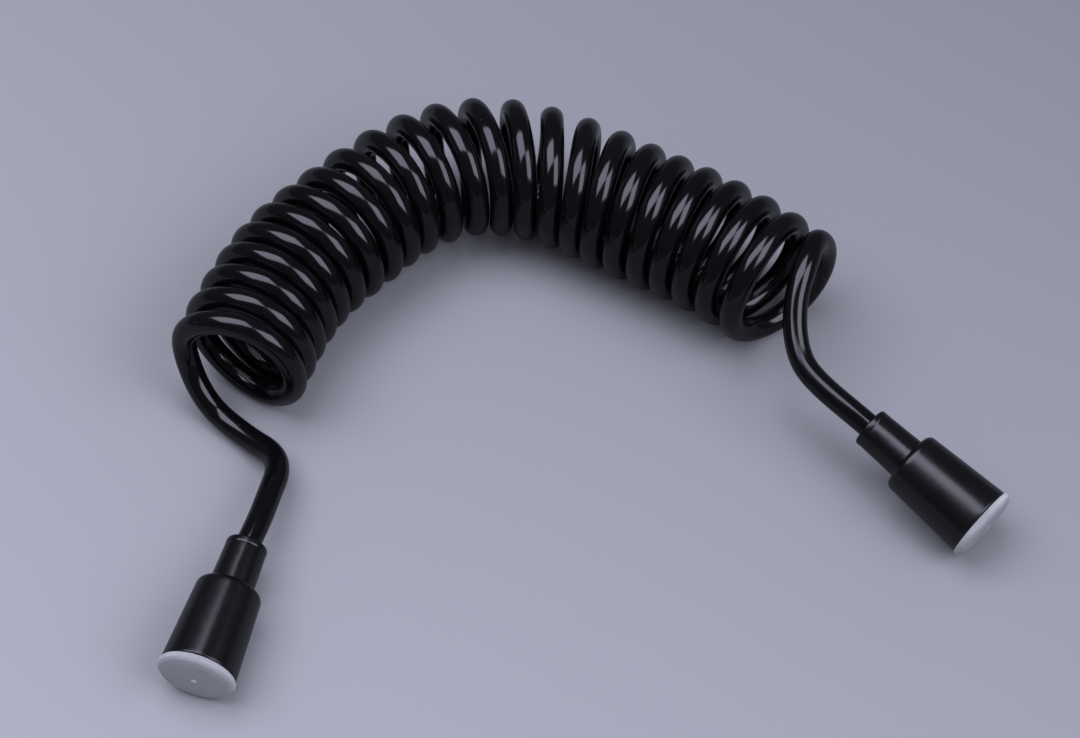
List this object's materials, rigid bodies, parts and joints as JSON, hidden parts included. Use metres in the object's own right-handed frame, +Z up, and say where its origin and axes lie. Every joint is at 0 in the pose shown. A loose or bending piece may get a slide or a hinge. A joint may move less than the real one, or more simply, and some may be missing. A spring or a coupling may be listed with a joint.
{
  "type": "coiled supply hose",
  "caption": "Black coiled spray supply hose, lying in a shallow arch, with a crimped ferrule, a reeded swivel nut and a push-in protective cap at each end.",
  "frame": {"origin": "middle of the footprint, on the floor the coil lies on", "axes": "+X along the row of turns from the left fitting to the right one, +Y towards the outside of the arch, +Z up from the floor"},
  "size_m": [0.274, 0.223, 0.0479],
  "materials": {
    "hose_black": "gloss",
    "ferrule_black": "gloss",
    "nut_black": "satin",
    "cap_plastic": "satin",
    "brass": "machined",
    "rubber": "matte",
    "acetal": "satin"
  },
  "bodies": {
    "left_end": {"hose_lead_left": "hose_black", "left_ferrule": "ferrule_black", "left_hose_tail": "brass", "left_o_ring": "rubber", "left_thrust_ring": "acetal", "left_washer": "rubber"},
    "coil_01": {"coil_half_01": "hose_black"},
    "coil_02": {"coil_half_02": "hose_black"},
    "coil_03": {"coil_half_03": "hose_black"},
    "coil_04": {"coil_half_04": "hose_black"},
    "coil_05": {"coil_half_05": "hose_black"},
    "coil_06": {"coil_half_06": "hose_black"},
    "coil_07": {"coil_half_07": "hose_black"},
    "coil_08": {"coil_half_08": "hose_black"},
    "coil_09": {"coil_half_09": "hose_black"},
    "coil_10": {"coil_half_10": "hose_black"},
    "coil_11": {"coil_half_11": "hose_black"},
    "coil_12": {"coil_half_12": "hose_black"},
    "coil_13": {"coil_half_13": "hose_black"},
    "coil_14": {"coil_half_14": "hose_black"},
    "coil_15": {"coil_half_15": "hose_black"},
    "coil_16": {"coil_half_16": "hose_black"},
    "coil_17": {"coil_half_17": "hose_black"},
    "coil_18": {"coil_half_18": "hose_black"},
    "coil_19": {"coil_half_19": "hose_black"},
    "coil_20": {"coil_half_20": "hose_black"},
    "coil_21": {"coil_half_21": "hose_black"},
    "coil_22": {"coil_half_22": "hose_black"},
    "coil_23": {"coil_half_23": "hose_black"},
    "coil_24": {"coil_half_24": "hose_black"},
    "coil_25": {"coil_half_25": "hose_black"},
    "coil_26": {"coil_half_26": "hose_black"},
    "coil_27": {"coil_half_27": "hose_black"},
    "coil_28": {"coil_half_28": "hose_black"},
    "coil_29": {"coil_half_29": "hose_black"},
    "coil_30": {"coil_half_30": "hose_black"},
    "coil_31": {"coil_half_31": "hose_black"},
    "coil_32": {"coil_half_32": "hose_black"},
    "coil_33": {"coil_half_33": "hose_black"},
    "coil_34": {"coil_half_34": "hose_black"},
    "coil_35": {"coil_half_35": "hose_black"},
    "coil_36": {"coil_half_36": "hose_black"},
    "coil_37": {"coil_half_37": "hose_black"},
    "coil_38": {"coil_half_38": "hose_black"},
    "coil_39": {"coil_half_39": "hose_black"},
    "coil_40": {"coil_half_40": "hose_black"},
    "coil_41": {"coil_half_41": "hose_black"},
    "coil_42": {"coil_half_42": "hose_black"},
    "coil_43": {"coil_half_43": "hose_black"},
    "coil_44": {"coil_half_44": "hose_black"},
    "right_end": {"hose_lead_right": "hose_black", "right_ferrule": "ferrule_black", "right_hose_tail": "brass", "right_o_ring": "rubber", "right_thrust_ring": "acetal", "right_washer": "rubber"},
    "left_swivel": {"left_nut": "nut_black"},
    "left_cap_body": {"left_cap": "cap_plastic"},
    "right_swivel": {"right_nut": "nut_black"},
    "right_cap_body": {"right_cap": "cap_plastic"}
  },
  "joints": [
    {"name": "coil_stretch", "type": "hinge", "parent": "coil_22", "child": "coil_21", "pos_m": [-0.03666, 0.06801, 0.02395], "axis": [0.017, 0.0047, 0.9998], "range_deg": [0, 35]},
    {"name": "twist_01", "type": "hinge", "parent": "coil_01", "child": "left_end", "pos_m": [-0.12936, 0.02203, 0.02395], "axis": [-0.0057, -0.0102, -0.9999], "range_deg": [0, 43.27]},
    {"name": "twist_02", "type": "hinge", "parent": "coil_02", "child": "coil_01", "pos_m": [-0.09324, 0.00662, 0.02395], "axis": [0.0057, 0.0094, 0.9999], "range_deg": [0, 42]},
    {"name": "twist_03", "type": "hinge", "parent": "coil_03", "child": "coil_02", "pos_m": [-0.1252, 0.03218, 0.02395], "axis": [-0.0051, -0.0079, -1], "range_deg": [0, 44.24]},
    {"name": "twist_04", "type": "hinge", "parent": "coil_04", "child": "coil_03", "pos_m": [-0.09034, 0.01445, 0.02395], "axis": [0.0047, 0.0068, 1], "range_deg": [0, 42]},
    {"name": "twist_05", "type": "hinge", "parent": "coil_05", "child": "coil_04", "pos_m": [-0.12095, 0.04167, 0.02395], "axis": [-0.0045, -0.0062, -1], "range_deg": [0, 46.13]},
    {"name": "twist_06", "type": "hinge", "parent": "coil_06", "child": "coil_05", "pos_m": [-0.08701, 0.02211, 0.02395], "axis": [0.0038, 0.005, 1], "range_deg": [0, 42]},
    {"name": "twist_07", "type": "hinge", "parent": "coil_07", "child": "coil_06", "pos_m": [-0.11625, 0.05051, 0.02395], "axis": [-0.0042, -0.0053, -1], "range_deg": [0, 47.87]},
    {"name": "twist_08", "type": "hinge", "parent": "coil_08", "child": "coil_07", "pos_m": [-0.08293, 0.02934, 0.02395], "axis": [0.0058, 0.007, 1], "range_deg": [0, 42]},
    {"name": "twist_09", "type": "hinge", "parent": "coil_09", "child": "coil_08", "pos_m": [-0.11036, 0.05902, 0.02395], "axis": [-0.006, -0.0067, -1], "range_deg": [0, 47.65]},
    {"name": "twist_10", "type": "hinge", "parent": "coil_10", "child": "coil_09", "pos_m": [-0.07789, 0.03592, 0.02395], "axis": [0.0047, 0.005, 1], "range_deg": [0, 42]},
    {"name": "twist_11", "type": "hinge", "parent": "coil_11", "child": "coil_10", "pos_m": [-0.10344, 0.06692, 0.02395], "axis": [-0.0052, -0.0054, -1], "range_deg": [0, 45.52]},
    {"name": "twist_12", "type": "hinge", "parent": "coil_12", "child": "coil_11", "pos_m": [-0.07184, 0.04237, 0.02395], "axis": [0.0072, 0.007, 0.9999], "range_deg": [0, 42]},
    {"name": "twist_13", "type": "hinge", "parent": "coil_13", "child": "coil_12", "pos_m": [-0.09551, 0.07492, 0.02395], "axis": [-0.0078, -0.0071, -0.9999], "range_deg": [0, 44.04]},
    {"name": "twist_14", "type": "hinge", "parent": "coil_14", "child": "coil_13", "pos_m": [-0.06557, 0.04874, 0.02395], "axis": [0.0106, 0.009, 0.9999], "range_deg": [0, 42]},
    {"name": "twist_15", "type": "hinge", "parent": "coil_15", "child": "coil_14", "pos_m": [-0.08672, 0.08346, 0.02395], "axis": [-0.0157, -0.0119, -0.9998], "range_deg": [0, 45.28]},
    {"name": "twist_16", "type": "hinge", "parent": "coil_16", "child": "coil_15", "pos_m": [-0.05982, 0.05473, 0.02395], "axis": [0.0185, 0.0122, 0.9998], "range_deg": [0, 42]},
    {"name": "twist_17", "type": "hinge", "parent": "coil_17", "child": "coil_16", "pos_m": [-0.07645, 0.0922, 0.02395], "axis": [-0.0188, -0.0106, -0.9998], "range_deg": [0, 48.7]},
    {"name": "twist_18", "type": "hinge", "parent": "coil_18", "child": "coil_17", "pos_m": [-0.05365, 0.06029, 0.02395], "axis": [0.0167, 0.0081, 0.9998], "range_deg": [0, 42]},
    {"name": "twist_19", "type": "hinge", "parent": "coil_19", "child": "coil_18", "pos_m": [-0.06533, 0.09951, 0.02395], "axis": [-0.0137, -0.0058, -0.9999], "range_deg": [0, 50.64]},
    {"name": "twist_20", "type": "hinge", "parent": "coil_20", "child": "coil_19", "pos_m": [-0.04572, 0.06507, 0.02395], "axis": [0.0115, 0.0043, 0.9999], "range_deg": [0, 42]},
    {"name": "twist_21", "type": "hinge", "parent": "coil_21", "child": "coil_20", "pos_m": [-0.05357, 0.10466, 0.02395], "axis": [-0.0126, -0.0041, -0.9999], "range_deg": [0, 50.64]},
    {"name": "twist_23", "type": "hinge", "parent": "coil_22", "child": "coil_23", "pos_m": [-0.04034, 0.10744, 0.02395], "axis": [0.0244, 0.005, 0.9997], "range_deg": [0, 50.64]},
    {"name": "twist_24", "type": "hinge", "parent": "coil_23", "child": "coil_24", "pos_m": [-0.0284, 0.0682, 0.02395], "axis": [-0.0284, -0.0033, -0.9996], "range_deg": [0, 42]},
    {"name": "twist_25", "type": "hinge", "parent": "coil_24", "child": "coil_25", "pos_m": [-0.02551, 0.10712, 0.02395], "axis": [0.0266, 0.0007, 0.9996], "range_deg": [0, 50.64]},
    {"name": "twist_26", "type": "hinge", "parent": "coil_25", "child": "coil_26", "pos_m": [-0.02038, 0.06605, 0.02395], "axis": [-0.025, 0.0013, -0.9997], "range_deg": [0, 42]},
    {"name": "twist_27", "type": "hinge", "parent": "coil_26", "child": "coil_27", "pos_m": [-0.01119, 0.10382, 0.02395], "axis": [0.0236, -0.0031, 0.9997], "range_deg": [0, 49.82]},
    {"name": "twist_28", "type": "hinge", "parent": "coil_27", "child": "coil_28", "pos_m": [-0.01244, 0.06247, 0.02395], "axis": [-0.0224, 0.0046, -0.9997], "range_deg": [0, 42]},
    {"name": "twist_29", "type": "hinge", "parent": "coil_28", "child": "coil_29", "pos_m": [0.00209, 0.09871, 0.02395], "axis": [0.0215, -0.0061, 0.9998], "range_deg": [0, 46.57]},
    {"name": "twist_30", "type": "hinge", "parent": "coil_29", "child": "coil_30", "pos_m": [-0.00513, 0.05833, 0.02395], "axis": [-0.0199, 0.0071, -0.9998], "range_deg": [0, 42]},
    {"name": "twist_31", "type": "hinge", "parent": "coil_30", "child": "coil_31", "pos_m": [0.01408, 0.09275, 0.02395], "axis": [0.0171, -0.0074, 0.9998], "range_deg": [0, 43.73]},
    {"name": "twist_32", "type": "hinge", "parent": "coil_31", "child": "coil_32", "pos_m": [0.00195, 0.05404, 0.02395], "axis": [-0.0132, 0.0065, -0.9999], "range_deg": [0, 42]},
    {"name": "twist_33", "type": "hinge", "parent": "coil_32", "child": "coil_33", "pos_m": [0.02467, 0.0868, 0.02395], "axis": [0.0085, -0.0046, 1], "range_deg": [0, 42.1]},
    {"name": "twist_34", "type": "hinge", "parent": "coil_33", "child": "coil_34", "pos_m": [0.00966, 0.04959, 0.02395], "axis": [-0.0064, 0.0037, -1], "range_deg": [0, 42]},
    {"name": "twist_35", "type": "hinge", "parent": "coil_34", "child": "coil_35", "pos_m": [0.03427, 0.08145, 0.02395], "axis": [0.0072, -0.0044, 1], "range_deg": [0, 42.15]},
    {"name": "twist_36", "type": "hinge", "parent": "coil_35", "child": "coil_36", "pos_m": [0.0175, 0.04538, 0.02395], "axis": [-0.0073, 0.0047, -1], "range_deg": [0, 42]},
    {"name": "twist_37", "type": "hinge", "parent": "coil_36", "child": "coil_37", "pos_m": [0.04388, 0.0761, 0.02395], "axis": [0.0077, -0.0053, 1], "range_deg": [0, 43.83]},
    {"name": "twist_38", "type": "hinge", "parent": "coil_37", "child": "coil_38", "pos_m": [0.02521, 0.04117, 0.02395], "axis": [-0.0083, 0.0061, -0.9999], "range_deg": [0, 42]},
    {"name": "twist_39", "type": "hinge", "parent": "coil_38", "child": "coil_39", "pos_m": [0.05358, 0.0702, 0.02395], "axis": [0.0092, -0.0073, 0.9999], "range_deg": [0, 45.07]},
    {"name": "twist_40", "type": "hinge", "parent": "coil_39", "child": "coil_40", "pos_m": [0.03271, 0.03656, 0.02395], "axis": [-0.0083, 0.0071, -0.9999], "range_deg": [0, 42]},
    {"name": "twist_41", "type": "hinge", "parent": "coil_40", "child": "coil_41", "pos_m": [0.0632, 0.0634, 0.02395], "axis": [0.0062, -0.0056, 1], "range_deg": [0, 45.08]},
    {"name": "twist_42", "type": "hinge", "parent": "coil_41", "child": "coil_42", "pos_m": [0.04049, 0.03091, 0.02395], "axis": [-0.0048, 0.0045, -1], "range_deg": [0, 42]},
    {"name": "twist_43", "type": "hinge", "parent": "coil_42", "child": "coil_43", "pos_m": [0.07237, 0.05612, 0.02395], "axis": [0.0036, -0.0035, 1], "range_deg": [0, 44.19]},
    {"name": "twist_44", "type": "hinge", "parent": "coil_43", "child": "coil_44", "pos_m": [0.04859, 0.02435, 0.02395], "axis": [-0.0024, 0.0025, -1], "range_deg": [0, 42]},
    {"name": "twist_45", "type": "hinge", "parent": "coil_44", "child": "right_end", "pos_m": [0.08121, 0.0486, 0.02395], "axis": [0.0016, -0.0017, 1], "range_deg": [0, 43.54]},
    {"name": "left_nut_spin", "type": "hinge", "parent": "left_end", "child": "left_swivel", "pos_m": [-0.11687, -0.08831, 0.013], "axis": [-0.2701, -0.9627, -0.0175], "continuous": true},
    {"name": "left_cap_pull", "type": "slide", "parent": "left_swivel", "child": "left_cap_body", "axis": [-0.2701, -0.9627, -0.0175], "range_m": [0, 0.04]},
    {"name": "right_nut_spin", "type": "hinge", "parent": "right_end", "child": "right_swivel", "pos_m": [0.11357, -0.03895, 0.01609], "axis": [0.7245, -0.6648, -0.1822], "continuous": true},
    {"name": "right_cap_pull", "type": "slide", "parent": "right_swivel", "child": "right_cap_body", "axis": [0.7245, -0.6648, -0.1822], "range_m": [0, 0.04]}
  ],
  "couplings": [
    {"joint": "twist_01", "follows": "coil_stretch", "ratio": 1.0302},
    {"joint": "twist_02", "follows": "coil_stretch", "ratio": 1},
    {"joint": "twist_03", "follows": "coil_stretch", "ratio": 1.0534},
    {"joint": "twist_04", "follows": "coil_stretch", "ratio": 1},
    {"joint": "twist_05", "follows": "coil_stretch", "ratio": 1.0983},
    {"joint": "twist_06", "follows": "coil_stretch", "ratio": 1},
    {"joint": "twist_07", "follows": "coil_stretch", "ratio": 1.1397},
    {"joint": "twist_08", "follows": "coil_stretch", "ratio": 1},
    {"joint": "twist_09", "follows": "coil_stretch", "ratio": 1.1345},
    {"joint": "twist_10", "follows": "coil_stretch", "ratio": 1},
    {"joint": "twist_11", "follows": "coil_stretch", "ratio": 1.0837},
    {"joint": "twist_12", "follows": "coil_stretch", "ratio": 1},
    {"joint": "twist_13", "follows": "coil_stretch", "ratio": 1.0486},
    {"joint": "twist_14", "follows": "coil_stretch", "ratio": 1},
    {"joint": "twist_15", "follows": "coil_stretch", "ratio": 1.078},
    {"joint": "twist_16", "follows": "coil_stretch", "ratio": 1},
    {"joint": "twist_17", "follows": "coil_stretch", "ratio": 1.1594},
    {"joint": "twist_18", "follows": "coil_stretch", "ratio": 1},
    {"joint": "twist_19", "follows": "coil_stretch", "ratio": 1.2057},
    {"joint": "twist_20", "follows": "coil_stretch", "ratio": 1},
    {"joint": "twist_21", "follows": "coil_stretch", "ratio": 1.2057},
    {"joint": "twist_23", "follows": "coil_stretch", "ratio": 1.2057},
    {"joint": "twist_24", "follows": "coil_stretch", "ratio": 1},
    {"joint": "twist_25", "follows": "coil_stretch", "ratio": 1.2057},
    {"joint": "twist_26", "follows": "coil_stretch", "ratio": 1},
    {"joint": "twist_27", "follows": "coil_stretch", "ratio": 1.1862},
    {"joint": "twist_28", "follows": "coil_stretch", "ratio": 1},
    {"joint": "twist_29", "follows": "coil_stretch", "ratio": 1.1088},
    {"joint": "twist_30", "follows": "coil_stretch", "ratio": 1},
    {"joint": "twist_31", "follows": "coil_stretch", "ratio": 1.0411},
    {"joint": "twist_32", "follows": "coil_stretch", "ratio": 1},
    {"joint": "twist_33", "follows": "coil_stretch", "ratio": 1.0025},
    {"joint": "twist_34", "follows": "coil_stretch", "ratio": 1},
    {"joint": "twist_35", "follows": "coil_stretch", "ratio": 1.0035},
    {"joint": "twist_36", "follows": "coil_stretch", "ratio": 1},
    {"joint": "twist_37", "follows": "coil_stretch", "ratio": 1.0437},
    {"joint": "twist_38", "follows": "coil_stretch", "ratio": 1},
    {"joint": "twist_39", "follows": "coil_stretch", "ratio": 1.0732},
    {"joint": "twist_40", "follows": "coil_stretch", "ratio": 1},
    {"joint": "twist_41", "follows": "coil_stretch", "ratio": 1.0734},
    {"joint": "twist_42", "follows": "coil_stretch", "ratio": 1},
    {"joint": "twist_43", "follows": "coil_stretch", "ratio": 1.0522},
    {"joint": "twist_44", "follows": "coil_stretch", "ratio": 1},
    {"joint": "twist_45", "follows": "coil_stretch", "ratio": 1.0367}
  ]
}
